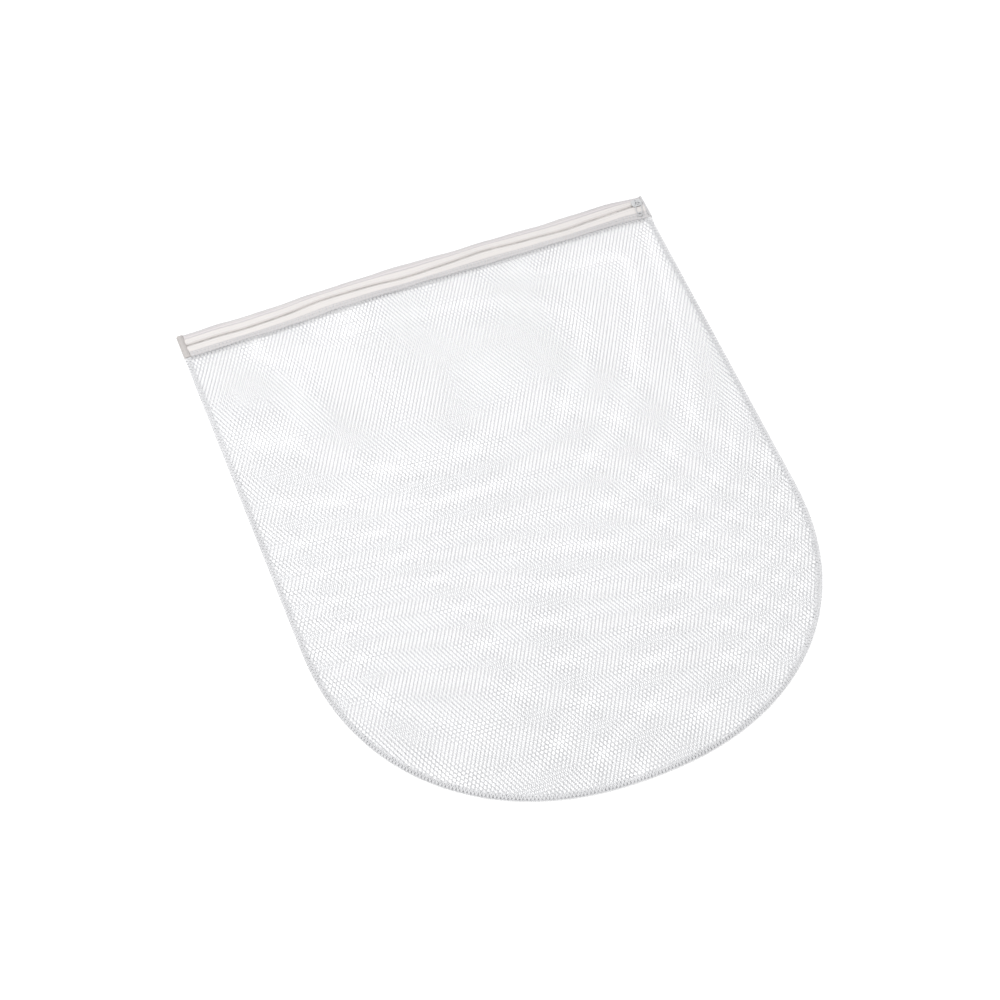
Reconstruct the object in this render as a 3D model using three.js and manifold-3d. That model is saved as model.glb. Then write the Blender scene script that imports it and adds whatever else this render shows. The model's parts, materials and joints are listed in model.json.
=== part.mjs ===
// Mesh laundry bag: two D-shaped net panels overlocked together round the sides and the
// round bottom, closed along the straight end by a coil zip whose coil lies inside the bag.
// Millimetres. The bag lies flat on Z = 0, zip end towards +Y, zip closed towards +X.
import * as THREE from "three";
import { mergeVertices } from "three/addons/utils/BufferGeometryUtils.js";
import Module from "manifold-3d";

const wasm = await Module();
wasm.setup();

// ---- Driving dimensions ----
const bagWidth = 400;
const bagLength = 490;
const bottomDepth = 190; // length of the rounded end, along Y
const bottomPower = 2.2; // superellipse power of the rounded end, 2 is an ellipse
const clear = 0.3; // air between pieces that touch on the real bag

const netThickness = 0.4; // knitted net, as a plain sheet
const threadHeight = 0.5; // a layer of overlock or tack thread
const seamWidth = 4.5; // overlocked border round the sides and bottom
const roomHeight = 5.2; // free height between the two panels of the lying bag
const rampWidth = 45; // distance over which the front panel rises from its seam

const bandWidth = 22.5; // the zip band, both tapes together
const tapeThickness = 0.5;
const tapeGap = 1.6; // slot between the two tapes, over the coil
const coilWidth = 2.2; // one side's coil
const coilHeight = 1.6;
const coilWall = 0.35;
const stitchWidth = 0.5;
const stitchHeight = 0.25;

const sliderLength = 8.6;
const sliderWidth = 7.8;
const plateThickness = 0.75;
const bailHeight = 2.3; // the bail's top over the slider's top plate
const pullWidth = 5.8;
const pullLength = 11; // the pull's frame, from its hinge to the eyelet
const pullThickness = 0.8;
const pullTilt = THREE.MathUtils.degToRad(4); // the pull leans down on to the tape
const pullLean = THREE.MathUtils.degToRad(12); // and aside, as far as the loose bail lets it
const pullShift = 0.7; // along the bag, so that the leaning slot clears both of the bail's legs

// ---- Levels and lines worked out from them ----
const halfWidth = bagWidth / 2;
const topY = bagLength / 2;
const archY = bottomDepth - topY; // where the straight sides meet the rounded end
const backEdgeZ = threadHeight + clear; // underside of the back panel in its seam
const frontEdgeZ = backEdgeZ + netThickness + clear; // underside of the front panel there
const seamTopZ = frontEdgeZ + netThickness + clear; // underside of the upper looper thread
const frontRoomZ = netThickness + roomHeight; // underside of the front panel, middle

const zipY = topY - bandWidth / 2;
const coilZ = clear + plateThickness + 2 * clear + netThickness; // underside of the coils
const tapeZ = coilZ + coilHeight + clear;
const tapeTopZ = tapeZ + tapeThickness;
const frontTapeEdgeY = topY - bandWidth;
const seamInset = 1; // the cut edges stand this far inside the border's outer edge
const endInset = 1; // tape ends inside the side seams
const tapeEndX = halfWidth - endInset;
const leftTackWidth = 5.5;
const rightTackWidth = 2.3;

// ---- Colours and finishes ----
const finish = (color, roughness, metalness = 0) =>
  new THREE.MeshStandardMaterial({ color, roughness, metalness });
const netFinish = finish(0xf1f2f5, 0.6);
const tapeFinish = finish(0xe6e0dc, 0.85);
const coilFinish = finish(0xcfc8c4, 0.4);
const threadFinish = finish(0xdcdde2, 0.75);
const tackFinish = finish(0xa59b97, 0.8);
const sliderFinish = finish(0xd4d5d8, 0.35, 0.2);

const bag = new THREE.Group();
const addPart = (name, geometry, material, parent = bag) => {
  const mesh = new THREE.Mesh(geometry, material);
  mesh.name = name;
  parent.add(mesh);
  return mesh;
};

// ---- Outline of the bag ----
// Points from the left end of the top line, down the left side, round the bottom and up the
// right side, all moved in by inset. The rounded end is |x/a|^p + |y/b|^p = 1.
const climbStart = frontTapeEdgeY - 22; // the side seams start to rise to the zip band here
const climbEnd = frontTapeEdgeY - 1;
const dipStart = frontTapeEdgeY + clear; // the back panel goes down under the slider's way
const dipEnd = zipY - sliderWidth / 2 - 2 * clear;
const climbMiddle = (climbStart + climbEnd) / 2;
const sideLines = [topY, dipEnd, dipStart, climbEnd, climbMiddle, climbStart, 130, 40];
const bottomSteps = 36;
const tightStep = 0.25; // lines above a ring's own top are gathered just under it
function outline(inset, top) {
  const a = halfWidth - inset;
  const b = bottomDepth - inset;
  const sideYs = sideLines.map((line, i) => Math.min(line, top - tightStep * i));
  const points = sideYs.map((y) => [-a, y]);
  for (let i = 0; i <= bottomSteps; i++) {
    const angle = (Math.PI * i) / bottomSteps;
    const across = Math.abs(Math.cos(angle)) ** (2 / bottomPower);
    const down = Math.abs(Math.sin(angle)) ** (2 / bottomPower);
    points.push([-Math.sign(Math.cos(angle)) * across * a, archY - down * b]);
  }
  return points.concat(sideYs.reverse().map((y) => [a, y]));
}
const { lerp, smoothstep } = THREE.MathUtils;
const climb = (y, height) => height * smoothstep(y, climbStart, climbEnd);
const dip = (y, height) => -height * smoothstep(y, dipStart, dipEnd);

// A closed surface from rows of points, each row as long as the next. Rows wrap round from
// the last point to the first when ring is true.
function surface(rows, triangles) {
  const geometry = new THREE.BufferGeometry();
  const places = new Float32Array(rows.flat(2));
  geometry.setAttribute("position", new THREE.BufferAttribute(places, 3));
  geometry.setIndex(triangles);
  return geometry;
}

// A panel: rings of the outline, one per level, closed by a middle point above and below.
// A level's own shift(y) moves its ring up or down near the zip band.
function panel(levels, top) {
  const ring = ({ inset, z, shift }, thickness) => {
    const ringTop = top - (inset - levels[0].inset);
    return outline(inset, ringTop).map(([x, y]) => [x, y, z + thickness + shift(y)]);
  };
  const upper = levels.map((level) => ring(level, netThickness)).reverse();
  const lower = levels.map((level) => ring(level, 0));
  const rows = [...upper, ...lower];
  const count = rows[0].length;
  const triangles = [];
  for (let r = 0; r + 1 < rows.length; r++)
    for (let i = 0; i < count; i++) {
      const j = (i + 1) % count;
      const [a, b] = [r * count + i, r * count + j];
      triangles.push(a, a + count, b, b, a + count, b + count);
    }
  const middleZ = levels.at(-1).z;
  const topMiddle = rows.length * count;
  for (let i = 0; i < count; i++) {
    const j = (i + 1) % count;
    triangles.push(topMiddle, i, j);
    triangles.push(topMiddle + 1, (rows.length - 1) * count + j, (rows.length - 1) * count + i);
  }
  rows.push([[0, 0, middleZ + netThickness], [0, 0, middleZ]]);
  return surface(rows, triangles);
}

// A border piece: a convex section of [inset, z] points carried down one side, round the
// bottom and up the other, with flat ends.
function border(section, top, lift) {
  const rows = section.map(([inset, z]) =>
    outline(inset, top).map(([x, y]) => [x, y, z + climb(y, lift)]),
  );
  const count = rows[0].length;
  const triangles = [];
  for (let r = 0; r < rows.length; r++) {
    const next = (r + 1) % rows.length;
    for (let i = 0; i + 1 < count; i++) {
      const [a, b] = [r * count + i, next * count + i];
      triangles.push(a, b, a + 1, b, b + 1, a + 1);
    }
  }
  for (let r = 1; r + 1 < rows.length; r++) {
    triangles.push(0, (r + 1) * count, r * count);
    triangles.push(count - 1, (r + 1) * count - 1, (r + 2) * count - 1);
  }
  return surface(rows, triangles);
}

// ---- Bars along X: a section of [y, z] points ----
const alongX = new THREE.Matrix4().makeBasis(
  new THREE.Vector3(0, 1, 0),
  new THREE.Vector3(0, 0, 1),
  new THREE.Vector3(1, 0, 0),
);
function shapeOf(points) {
  return new THREE.Shape(points.map(([a, b]) => new THREE.Vector2(a, b)));
}
function barAlongX(shape, fromX, toX) {
  const bar = new THREE.ExtrudeGeometry(shape, { depth: toX - fromX, bevelEnabled: false });
  return bar.applyMatrix4(alongX).translate(fromX, 0, 0);
}
const rectangle = (y0, y1, z0, z1) => [[y0, z0], [y1, z0], [y1, z1], [y0, z1]];

// ---- Joining solids ----
function toSolid(geometry) {
  const plain = geometry.index ? geometry.toNonIndexed() : geometry.clone();
  plain.deleteAttribute("normal");
  plain.deleteAttribute("uv");
  const merged = mergeVertices(plain, 1e-4);
  const mesh = new wasm.Mesh({
    numProp: 3,
    vertProperties: merged.attributes.position.array,
    triVerts: new Uint32Array(merged.index.array),
  });
  return new wasm.Manifold(mesh);
}
function fromSolid(solid) {
  const mesh = solid.getMesh();
  const geometry = new THREE.BufferGeometry();
  geometry.setAttribute("position", new THREE.BufferAttribute(mesh.vertProperties, 3));
  geometry.setIndex(new THREE.BufferAttribute(mesh.triVerts, 1));
  return geometry;
}
const joined = (geometries) => geometries.map(toSolid).reduce((a, b) => a.add(b));

function box(x0, x1, y0, y1, z0, z1) {
  const made = new THREE.BoxGeometry(x1 - x0, y1 - y0, z1 - z0);
  return made.translate((x0 + x1) / 2, (y0 + y1) / 2, (z0 + z1) / 2);
}
function roundedPlate(length, width, radius, z0, z1) {
  const [x, y] = [length / 2, width / 2];
  const shape = new THREE.Shape()
    .moveTo(-x + radius, -y)
    .lineTo(x - radius, -y)
    .absarc(x - radius, -y + radius, radius, -Math.PI / 2, 0)
    .lineTo(x, y - radius)
    .absarc(x - radius, y - radius, radius, 0, Math.PI / 2)
    .lineTo(-x + radius, y)
    .absarc(-x + radius, y - radius, radius, Math.PI / 2, Math.PI)
    .lineTo(-x, -y + radius)
    .absarc(-x + radius, -y + radius, radius, Math.PI, 1.5 * Math.PI);
  const plate = new THREE.ExtrudeGeometry(shape, {
    depth: z1 - z0,
    bevelEnabled: false,
    curveSegments: 5,
  });
  return plate.translate(0, 0, z0);
}

// ---- Net panels ----
const rampInset = seamWidth + seamInset;
const foldFrom = seamWidth + 2 * clear; // the back panel folds down to the surface
const foldTo = 7.5; // between these two insets
function addPanels() {
  const level = (inset, z, shift) => ({ inset, z, shift });
  const still = () => 0;
  const dipped = (y) => dip(y, backEdgeZ);
  const back = [
    level(seamInset, backEdgeZ, dipped),
    level(foldFrom, backEdgeZ, dipped),
    level(foldTo, 0, still),
    level(rampWidth, 0, still),
  ];
  addPart("back_mesh_panel", panel(back, topY - seamInset), netFinish);

  const lift = tapeZ - clear - netThickness - frontEdgeZ;
  const front = [seamInset, rampInset, 12, 22, 33, rampWidth].map((inset) => {
    const way = smoothstep(inset, rampInset, rampWidth);
    return level(inset, lerp(frontEdgeZ, frontRoomZ, way), (y) => (1 - way) * climb(y, lift));
  });
  const underTape = 3.5; // the front panel's top edge reaches this far under its tape
  const top = frontTapeEdgeY + underTape;
  addPart("front_mesh_panel", panel(front, top), netFinish);
}

// ---- Overlocked border: upper looper, lower looper and needle thread ----
function addBorder() {
  const tackLine = frontTapeEdgeY - threadHeight - 2 * clear;
  const lift = tapeTopZ + clear - seamTopZ;
  const hookZ = backEdgeZ + netThickness + clear / 2; // the two loopers meet at the edge
  const lip = 0.5; // thread over the cut edges
  // each looper lies over its panel and turns down or up the cut edge, as one L section
  const lowerFlat = [[0, 0], [seamWidth, 0], [seamWidth, threadHeight], [0, threadHeight]];
  const lowerLip = [[0, 0], [lip, 0], [lip, hookZ - clear / 2], [0, hookZ - clear / 2]];
  const lower = joined([lowerFlat, lowerLip].map((s) => border(s, topY - bandWidth, 0)));
  addPart("edge_overlock_lower_thread", fromSolid(lower), threadFinish);

  const upperZ = seamTopZ;
  const upperTop = upperZ + threadHeight;
  const upperFlat = [[0, upperZ], [seamWidth, upperZ], [seamWidth, upperTop], [0, upperTop]];
  const upperLip = [
    [0, hookZ + clear / 2],
    [lip, hookZ + clear / 2],
    [lip, upperTop],
    [0, upperTop],
  ];
  const upper = joined([upperFlat, upperLip].map((s) => border(s, tackLine, lift)));
  addPart("edge_overlock_upper_thread", fromSolid(upper), threadFinish);

  const needleIn = seamWidth + clear;
  const needle = [
    [needleIn, upperZ],
    [needleIn + stitchWidth, upperZ],
    [needleIn + stitchWidth, upperZ + stitchHeight],
    [needleIn, upperZ + stitchHeight],
  ];
  addPart("edge_needle_thread", border(needle, tackLine, lift), threadFinish);
}

// ---- Zip: tapes, coils, filler cords and stitching, one set for each side ----
function addZipSide(name, side) {
  const at = (v) => zipY + side * v;
  const bar = (points) => {
    const section = points.map(([v, z]) => [at(v), z]);
    return shapeOf(side < 0 ? section.reverse() : section);
  };
  const half = tapeGap / 2;
  const outer = bandWidth / 2 - (side > 0 ? threadHeight + clear : 0);
  const tape = bar(rectangle(half, outer, tapeZ, tapeTopZ));
  addPart(`${name}_zip_tape`, barAlongX(tape, -tapeEndX, tapeEndX), tapeFinish);

  const coil = bar(rectangle(half, half + coilWidth, coilZ, coilZ + coilHeight));
  const bore = rectangle(
    half + coilWall,
    half + coilWidth - coilWall,
    coilZ + coilWall,
    coilZ + coilHeight - coilWall,
  );
  coil.holes.push(new THREE.Path(bar(bore).getPoints().reverse()));
  addPart(`${name}_zip_coil`, barAlongX(coil, -tapeEndX, tapeEndX), coilFinish);

  const cordGap = 0.2; // the cord lies loose in the coil
  const cord = rectangle(
    half + coilWall + cordGap,
    half + coilWidth - coilWall - cordGap,
    coilZ + coilWall + cordGap,
    coilZ + coilHeight - coilWall - cordGap,
  );
  addPart(`${name}_coil_filler_cord`, barAlongX(bar(cord), -tapeEndX, tapeEndX), threadFinish);

  const stitchV = half + (coilWidth - stitchWidth) / 2;
  const stitchZ = tapeTopZ + clear;
  const stitch = rectangle(stitchV, stitchV + stitchWidth, stitchZ, stitchZ + stitchHeight);
  const stitchEnd = halfWidth - leftTackWidth - clear;
  const reach = halfWidth - rightTackWidth - clear;
  addPart(`${name}_coil_stitching`, barAlongX(bar(stitch), -stitchEnd, reach), threadFinish);
}

// ---- Sewing that joins the tapes to the panels ----
function addTapeSewing() {
  const fromX = clear + leftTackWidth - halfWidth;
  const toX = halfWidth - rightTackWidth - clear;
  const z = tapeTopZ + clear;
  const overlockWidth = 4.3;
  const lip = frontTapeEdgeY - clear; // thread turned down over the tape's lower edge
  const overlock = shapeOf([
    [lip - threadHeight, tapeZ + clear / 2],
    [lip, tapeZ + clear / 2],
    [lip, z],
    [frontTapeEdgeY + overlockWidth, z],
    [frontTapeEdgeY + overlockWidth, z + threadHeight],
    [lip - threadHeight, z + threadHeight],
  ]);
  addPart("front_tape_overlock", barAlongX(overlock, fromX, toX), threadFinish);

  const rows = { outer: 1.6, inner: 4.4 }; // distance of each row from the bag's top edge
  for (const [name, distance] of Object.entries(rows)) {
    const y = topY - distance;
    const row = shapeOf(rectangle(y - stitchWidth, y, z, z + stitchHeight));
    addPart(`back_tape_stitching_${name}`, barAlongX(row, fromX, toX), threadFinish);
  }
}

// ---- Top edge: thread that binds the back panel's edge to the back tape's ----
function addTopBinding() {
  const inner = topY - threadHeight;
  const lap = topY - 1.2; // how far the thread laps over the tape
  const z = tapeTopZ + clear;
  const binding = shapeOf([
    [inner, 0],
    [topY, 0],
    [topY, z + stitchHeight],
    [lap, z + stitchHeight],
    [lap, z],
    [inner, z],
  ]);
  const fromX = clear + leftTackWidth - halfWidth;
  const toX = halfWidth - rightTackWidth - clear;
  addPart("top_edge_binding_thread", barAlongX(binding, fromX, toX), threadFinish);
}

// ---- End tacks: thread wrapped round each end of the zip band ----
function addTack(name, side, width) {
  const fromY = frontTapeEdgeY;
  const toY = topY;
  const place = (x0, x1, z0, z1) => {
    const xs = [side * x0, side * x1].sort((a, b) => a - b);
    return box(xs[0], xs[1], fromY, toY, z0, z1);
  };
  const wall = halfWidth - endInset + clear;
  const inner = halfWidth - width;
  const z = tapeTopZ + clear;
  const around = place(wall, halfWidth, 0, z + threadHeight);
  const over = place(inner, halfWidth, z, z + threadHeight);
  addPart(name, fromSolid(joined([around, over])), tackFinish);
}

// ---- Slider and its pull ----
const bailBar = 0.9; // thickness of the bail's wire
const topPlateZ = tapeTopZ + 2 * clear + stitchHeight;
const topPlateTop = topPlateZ + plateThickness;
const hingeZ = topPlateTop + bailHeight - bailBar - clear - pullThickness / 2;
const sliderX = halfWidth - rightTackWidth - clear - sliderLength / 2;

function sliderBody() {
  const bottomZ = coilZ - clear - plateThickness;
  const flangeOut = sliderWidth / 2;
  const flangeIn = tapeGap / 2 + coilWidth + clear;
  const flangeTop = tapeZ - clear;
  const postHalf = tapeGap / 2 - clear;
  const back = -sliderLength / 2;
  const flangeEnd = sliderLength / 4; // the flanges stop short of the nose
  const postFrom = 1.2;
  const postTo = 3.6;
  const bailHalf = 2.9;
  const bailTop = topPlateTop + bailHeight;
  const root = topPlateTop - clear;
  const plateRadius = 1.6;
  const parts = [
    roundedPlate(sliderLength, sliderWidth, plateRadius, bottomZ, bottomZ + plateThickness),
    roundedPlate(sliderLength, sliderWidth - 0.8, plateRadius, topPlateZ, topPlateTop),
    box(back + 1, flangeEnd, flangeIn, flangeOut, bottomZ, flangeTop),
    box(back + 1, flangeEnd, -flangeOut, -flangeIn, bottomZ, flangeTop),
    box(postFrom, postTo, -postHalf, postHalf, bottomZ, topPlateTop),
    box(-bailBar / 2, bailBar / 2, -bailHalf, bailBar - bailHalf, root, bailTop),
    box(-bailBar / 2, bailBar / 2, bailHalf - bailBar, bailHalf, root, bailTop),
    box(-bailBar / 2, bailBar / 2, -bailHalf, bailHalf, bailTop - bailBar, bailTop),
  ];
  return fromSolid(joined(parts));
}

// The pull lies along -Y from its hinge: a frame with a slot, ending in a small eyelet.
function pullTab() {
  const half = pullWidth / 2;
  const bar = 0.8; // width of the frame's wire
  const eyelet = 2.4;
  const hole = 1.1;
  const shoulder = 1.6; // the frame narrows to the eyelet over this length
  const eyeletY = -pullLength - eyelet * 0.8;
  const frame = new THREE.Shape()
    .moveTo(-half, bar / 2)
    .lineTo(-half, -pullLength + shoulder)
    .lineTo(-eyelet * 0.7, -pullLength)
    .lineTo(eyelet * 0.7, -pullLength)
    .lineTo(half, -pullLength + shoulder)
    .lineTo(half, bar / 2);
  const slotEnd = shoulder - pullLength + bar / 2;
  const slot = new THREE.Path()
    .moveTo(bar - half, -bar / 2)
    .lineTo(bar - half, slotEnd)
    .lineTo(half - bar, slotEnd)
    .lineTo(half - bar, -bar / 2);
  frame.holes.push(slot);
  const options = { depth: pullThickness, bevelEnabled: false, curveSegments: 12 };
  const plate = new THREE.ExtrudeGeometry(frame, options);
  const disc = new THREE.ExtrudeGeometry(
    new THREE.Shape().absarc(0, eyeletY, eyelet, 0, 2 * Math.PI),
    options,
  );
  const drill = new THREE.ExtrudeGeometry(
    new THREE.Shape().absarc(0, eyeletY, hole, 0, 2 * Math.PI),
    { ...options, depth: 3 * pullThickness },
  ).translate(0, 0, -pullThickness);
  const solid = joined([plate, disc]).subtract(toSolid(drill));
  return fromSolid(solid).translate(0, 0, -pullThickness / 2);
}

function addSlider() {
  const slider = new THREE.Group();
  slider.position.set(sliderX, zipY, 0);
  bag.add(slider);
  addPart("slider_body", sliderBody(), sliderFinish, slider);
  const pull = addPart("slider_pull", pullTab(), sliderFinish, slider);
  pull.position.set(pullShift, 0, hingeZ);
  pull.rotation.set(pullTilt, 0, -pullLean, "ZYX");
}

addPanels();
addBorder();
addZipSide("front", -1);
addZipSide("back", 1);
addTapeSewing();
addTopBinding();
addTack("left_end_tack", -1, leftTackWidth);
addTack("right_end_tack", 1, rightTackWidth);
addSlider();

export default bag;
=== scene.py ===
"""Looks of the mesh laundry bag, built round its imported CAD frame. Metres, +Z up.

The bag lies flat on Z = 0 with its zip towards +Y. Every cloth and thread is a numpy surface: the
two knitted nets are closed strands on a warped honeycomb, threads are tubes carried along the path
that the machine lays them in, and the zip's tapes are one section carried along the band.
"""

import json

import bpy
import numpy as np
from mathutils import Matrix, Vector


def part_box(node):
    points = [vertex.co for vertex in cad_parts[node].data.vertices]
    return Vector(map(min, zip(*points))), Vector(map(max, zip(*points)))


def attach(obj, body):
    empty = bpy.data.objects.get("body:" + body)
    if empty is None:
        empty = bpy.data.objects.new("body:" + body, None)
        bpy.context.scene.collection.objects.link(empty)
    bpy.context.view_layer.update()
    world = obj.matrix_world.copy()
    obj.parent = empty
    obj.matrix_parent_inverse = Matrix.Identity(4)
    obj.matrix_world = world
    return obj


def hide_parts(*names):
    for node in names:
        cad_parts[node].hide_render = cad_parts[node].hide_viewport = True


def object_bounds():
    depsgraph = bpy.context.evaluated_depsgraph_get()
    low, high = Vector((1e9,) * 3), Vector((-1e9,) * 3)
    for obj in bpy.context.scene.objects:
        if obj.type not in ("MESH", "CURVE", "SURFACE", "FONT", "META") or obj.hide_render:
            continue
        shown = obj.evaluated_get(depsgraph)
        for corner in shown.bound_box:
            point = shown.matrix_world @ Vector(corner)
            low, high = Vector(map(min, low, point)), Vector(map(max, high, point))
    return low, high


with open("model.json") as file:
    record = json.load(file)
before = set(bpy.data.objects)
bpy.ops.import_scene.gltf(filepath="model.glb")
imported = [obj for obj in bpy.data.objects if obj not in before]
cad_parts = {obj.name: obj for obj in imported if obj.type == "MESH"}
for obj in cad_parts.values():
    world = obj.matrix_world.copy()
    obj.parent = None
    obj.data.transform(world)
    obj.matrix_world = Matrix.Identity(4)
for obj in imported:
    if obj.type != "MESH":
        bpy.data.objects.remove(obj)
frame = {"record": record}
CAD_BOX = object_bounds()

bl_info = {
    "name": "Mesh Laundry Bag",
    "version": (1, 0, 0),
    "blender": (4, 5, 0),
    "location": "3D View > Sidebar > Laundry Bag",
    "description": "Builds a zipped net laundry bag around its packed frame",
    "category": "Add Mesh",
}

MM = 0.001

# ---- Sizes taken from the frame ----
TAPE_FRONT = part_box("front_zip_tape")
TAPE_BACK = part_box("back_zip_tape")
COIL_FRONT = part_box("front_zip_coil")
COIL_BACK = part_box("back_zip_coil")
BORDER_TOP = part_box("edge_overlock_upper_thread")
BORDER_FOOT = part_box("edge_overlock_lower_thread")
TACK_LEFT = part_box("left_end_tack")
TACK_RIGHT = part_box("right_end_tack")
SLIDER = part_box("slider_body")
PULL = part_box("slider_pull")
PANEL_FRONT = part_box("front_mesh_panel")

HALF_WIDTH = CAD_BOX[1][0]
TOP_Y = TACK_LEFT[1].y
TIP_Y = BORDER_FOOT[0].y
BAND_LOW_Y = TACK_LEFT[0].y
ZIP_Y = (TAPE_FRONT[1].y + TAPE_BACK[0].y) / 2
TAPE_LOW_Z = TAPE_FRONT[0].z
TAPE_HIGH_Z = TAPE_FRONT[1].z
ROOM_Z = PANEL_FRONT[1].z  # top of the lying bag's front panel

# ---- Sizes of the sewing ----
BORDER_WIDTH = 4.3 * MM  # overlock round the sides and the round end
NET_INSET = 2.5 * MM  # how far inside the bag's edge the nets' cells stop
TACK_INSET = 0.7 * MM  # and how much farther beside the end tacks
TAPE_ROWS = (6.7 * MM, 8.6 * MM)  # sewn grooves of a tape, from the zip's centre line
COIL_ROWS = (1.75 * MM, 3.4 * MM)  # stitches over a coil, from the zip's centre line
CLIMB = (0.2, 0.222)  # between these places along Y the border climbs to the zip band
TAPE_SAMPLES = 420


# ---- Properties ----
class LaundryBagSettings(bpy.types.PropertyGroup):
    """Sizes and colours that a user would change."""

    round_depth: bpy.props.FloatProperty(
        name="Round End", description="Length of the rounded end", default=0.19, unit="LENGTH"
    )
    roundness: bpy.props.FloatProperty(
        name="Roundness", description="Power of the rounded end, 2 is an ellipse", default=2.2
    )
    cell_width: bpy.props.FloatProperty(
        name="Cell Width", description="Net cell across the bag", default=3.1 * MM, unit="LENGTH"
    )
    cell_pitch: bpy.props.FloatProperty(
        name="Cell Pitch", description="From one row of cells to the next", default=3.07 * MM,
        unit="LENGTH",
    )
    pillar_width: bpy.props.FloatProperty(
        name="Pillar Yarn", description="Width of the knitted pillars", default=0.72 * MM,
        unit="LENGTH",
    )
    strand_width: bpy.props.FloatProperty(
        name="Slant Yarn", description="Width of the slanting strands", default=0.45 * MM,
        unit="LENGTH",
    )
    front_turn: bpy.props.FloatProperty(
        name="Front Net Turn", description="Turn of the front net's rows against the zip",
        default=-0.085, subtype="ANGLE",
    )
    back_turn: bpy.props.FloatProperty(
        name="Back Net Turn", description="Turn of the back net's rows against the zip",
        default=-0.035, subtype="ANGLE",
    )
    thread_radius: bpy.props.FloatProperty(
        name="Thread Radius", description="Overlock thread", default=0.46 * MM, unit="LENGTH"
    )
    stitch_pitch: bpy.props.FloatProperty(
        name="Stitch Length", description="Overlock stitch along the seam", default=2.7 * MM,
        unit="LENGTH",
    )
    net_colour: bpy.props.FloatVectorProperty(
        name="Net Colour", description="Knitted net", default=(0.85, 0.855, 0.874, 1.0), size=4,
        subtype="COLOR",
    )
    thread_colour: bpy.props.FloatVectorProperty(
        name="Thread Colour", description="Stitching of the zip band", size=4, subtype="COLOR",
        default=(0.76, 0.755, 0.765, 1.0),
    )
    border_colour: bpy.props.FloatVectorProperty(
        name="Border Colour", description="Overlock thread of the border", size=4,
        subtype="COLOR", default=(0.9, 0.902, 0.918, 1.0),
    )
    tape_colour: bpy.props.FloatVectorProperty(
        name="Tape Colour", description="Zip tape over the coil", size=4, subtype="COLOR",
        default=(0.82, 0.787, 0.768, 1.0),
    )
    tape_edge_colour: bpy.props.FloatVectorProperty(
        name="Tape Edge Colour", description="Outer part of the zip tape", size=4,
        subtype="COLOR", default=(0.73, 0.69, 0.7, 1.0),
    )
    tape_seam_colour: bpy.props.FloatVectorProperty(
        name="Tape Seam Colour", description="Front tape under its overlock", size=4,
        subtype="COLOR", default=(0.68, 0.655, 0.66, 1.0),
    )
    coil_colour: bpy.props.FloatVectorProperty(
        name="Coil Colour", description="Nylon zip coil", size=4, subtype="COLOR",
        default=(0.9, 0.85, 0.82, 1.0),
    )
    tack_colour: bpy.props.FloatVectorProperty(
        name="Tack Colour", description="Thread of the left end tack", size=4, subtype="COLOR",
        default=(0.66, 0.625, 0.61, 1.0),
    )
    slider_colour: bpy.props.FloatVectorProperty(
        name="Slider Colour", description="Enamel of the slider and pull", size=4,
        subtype="COLOR", default=(0.63, 0.635, 0.645, 1.0),
    )


def settings():
    """The sizes and colours that the scene holds."""
    return bpy.context.scene.laundry_bag


# ---- Mesh making ----
def quads_of(rows, columns):
    """Faces of a grid of rows x columns points, each row closed on itself.

    Returns the corners' point indices, and each corner's row and column.
    """
    r, c = np.meshgrid(np.arange(rows - 1), np.arange(columns), indexing="ij")
    after = (c + 1) % columns
    corners = [r * columns + c, r * columns + after, (r + 1) * columns + after]
    corners.append((r + 1) * columns + c)
    quads = np.stack(corners, -1).reshape(-1, 4)
    row = np.stack([r, r, r + 1, r + 1], -1).reshape(-1, 4)
    column = np.stack([c, c + 1, c + 1, c], -1).reshape(-1, 4)
    return quads, row, column


def grid_part(points, along, around):
    """A tube or strip from points[rows, columns, 3], each row a closed section.

    along gives each row's place on the strip and around each column's place on the section, for
    the piece's own UV map. Both ends are closed by a fan to the section's mean point.
    """
    rows, columns, _ = points.shape
    quads, row, column = quads_of(rows, columns)
    around = np.append(around, 2 * around[-1] - around[-2])
    middle = rows * columns  # index of the first fan's middle point
    last_row = (rows - 1) * columns
    c = np.arange(columns)
    after = (c + 1) % columns
    start = np.stack([np.full(columns, middle), after, c], -1)
    end = np.stack([np.full(columns, middle + 1), last_row + c, last_row + after], -1)
    start_uv = np.full((columns, 3, 2), [along[0], around[0]])
    return {
        "points": np.concatenate([points.reshape(-1, 3), [points[0].mean(0), points[-1].mean(0)]]),
        "quads": quads,
        "quad_uv": np.stack([along[row], around[column]], -1),
        "tris": np.concatenate([start, end]),
        "tri_uv": np.concatenate([start_uv, start_uv + [along[-1] - along[0], 0.0]]),
    }


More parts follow.
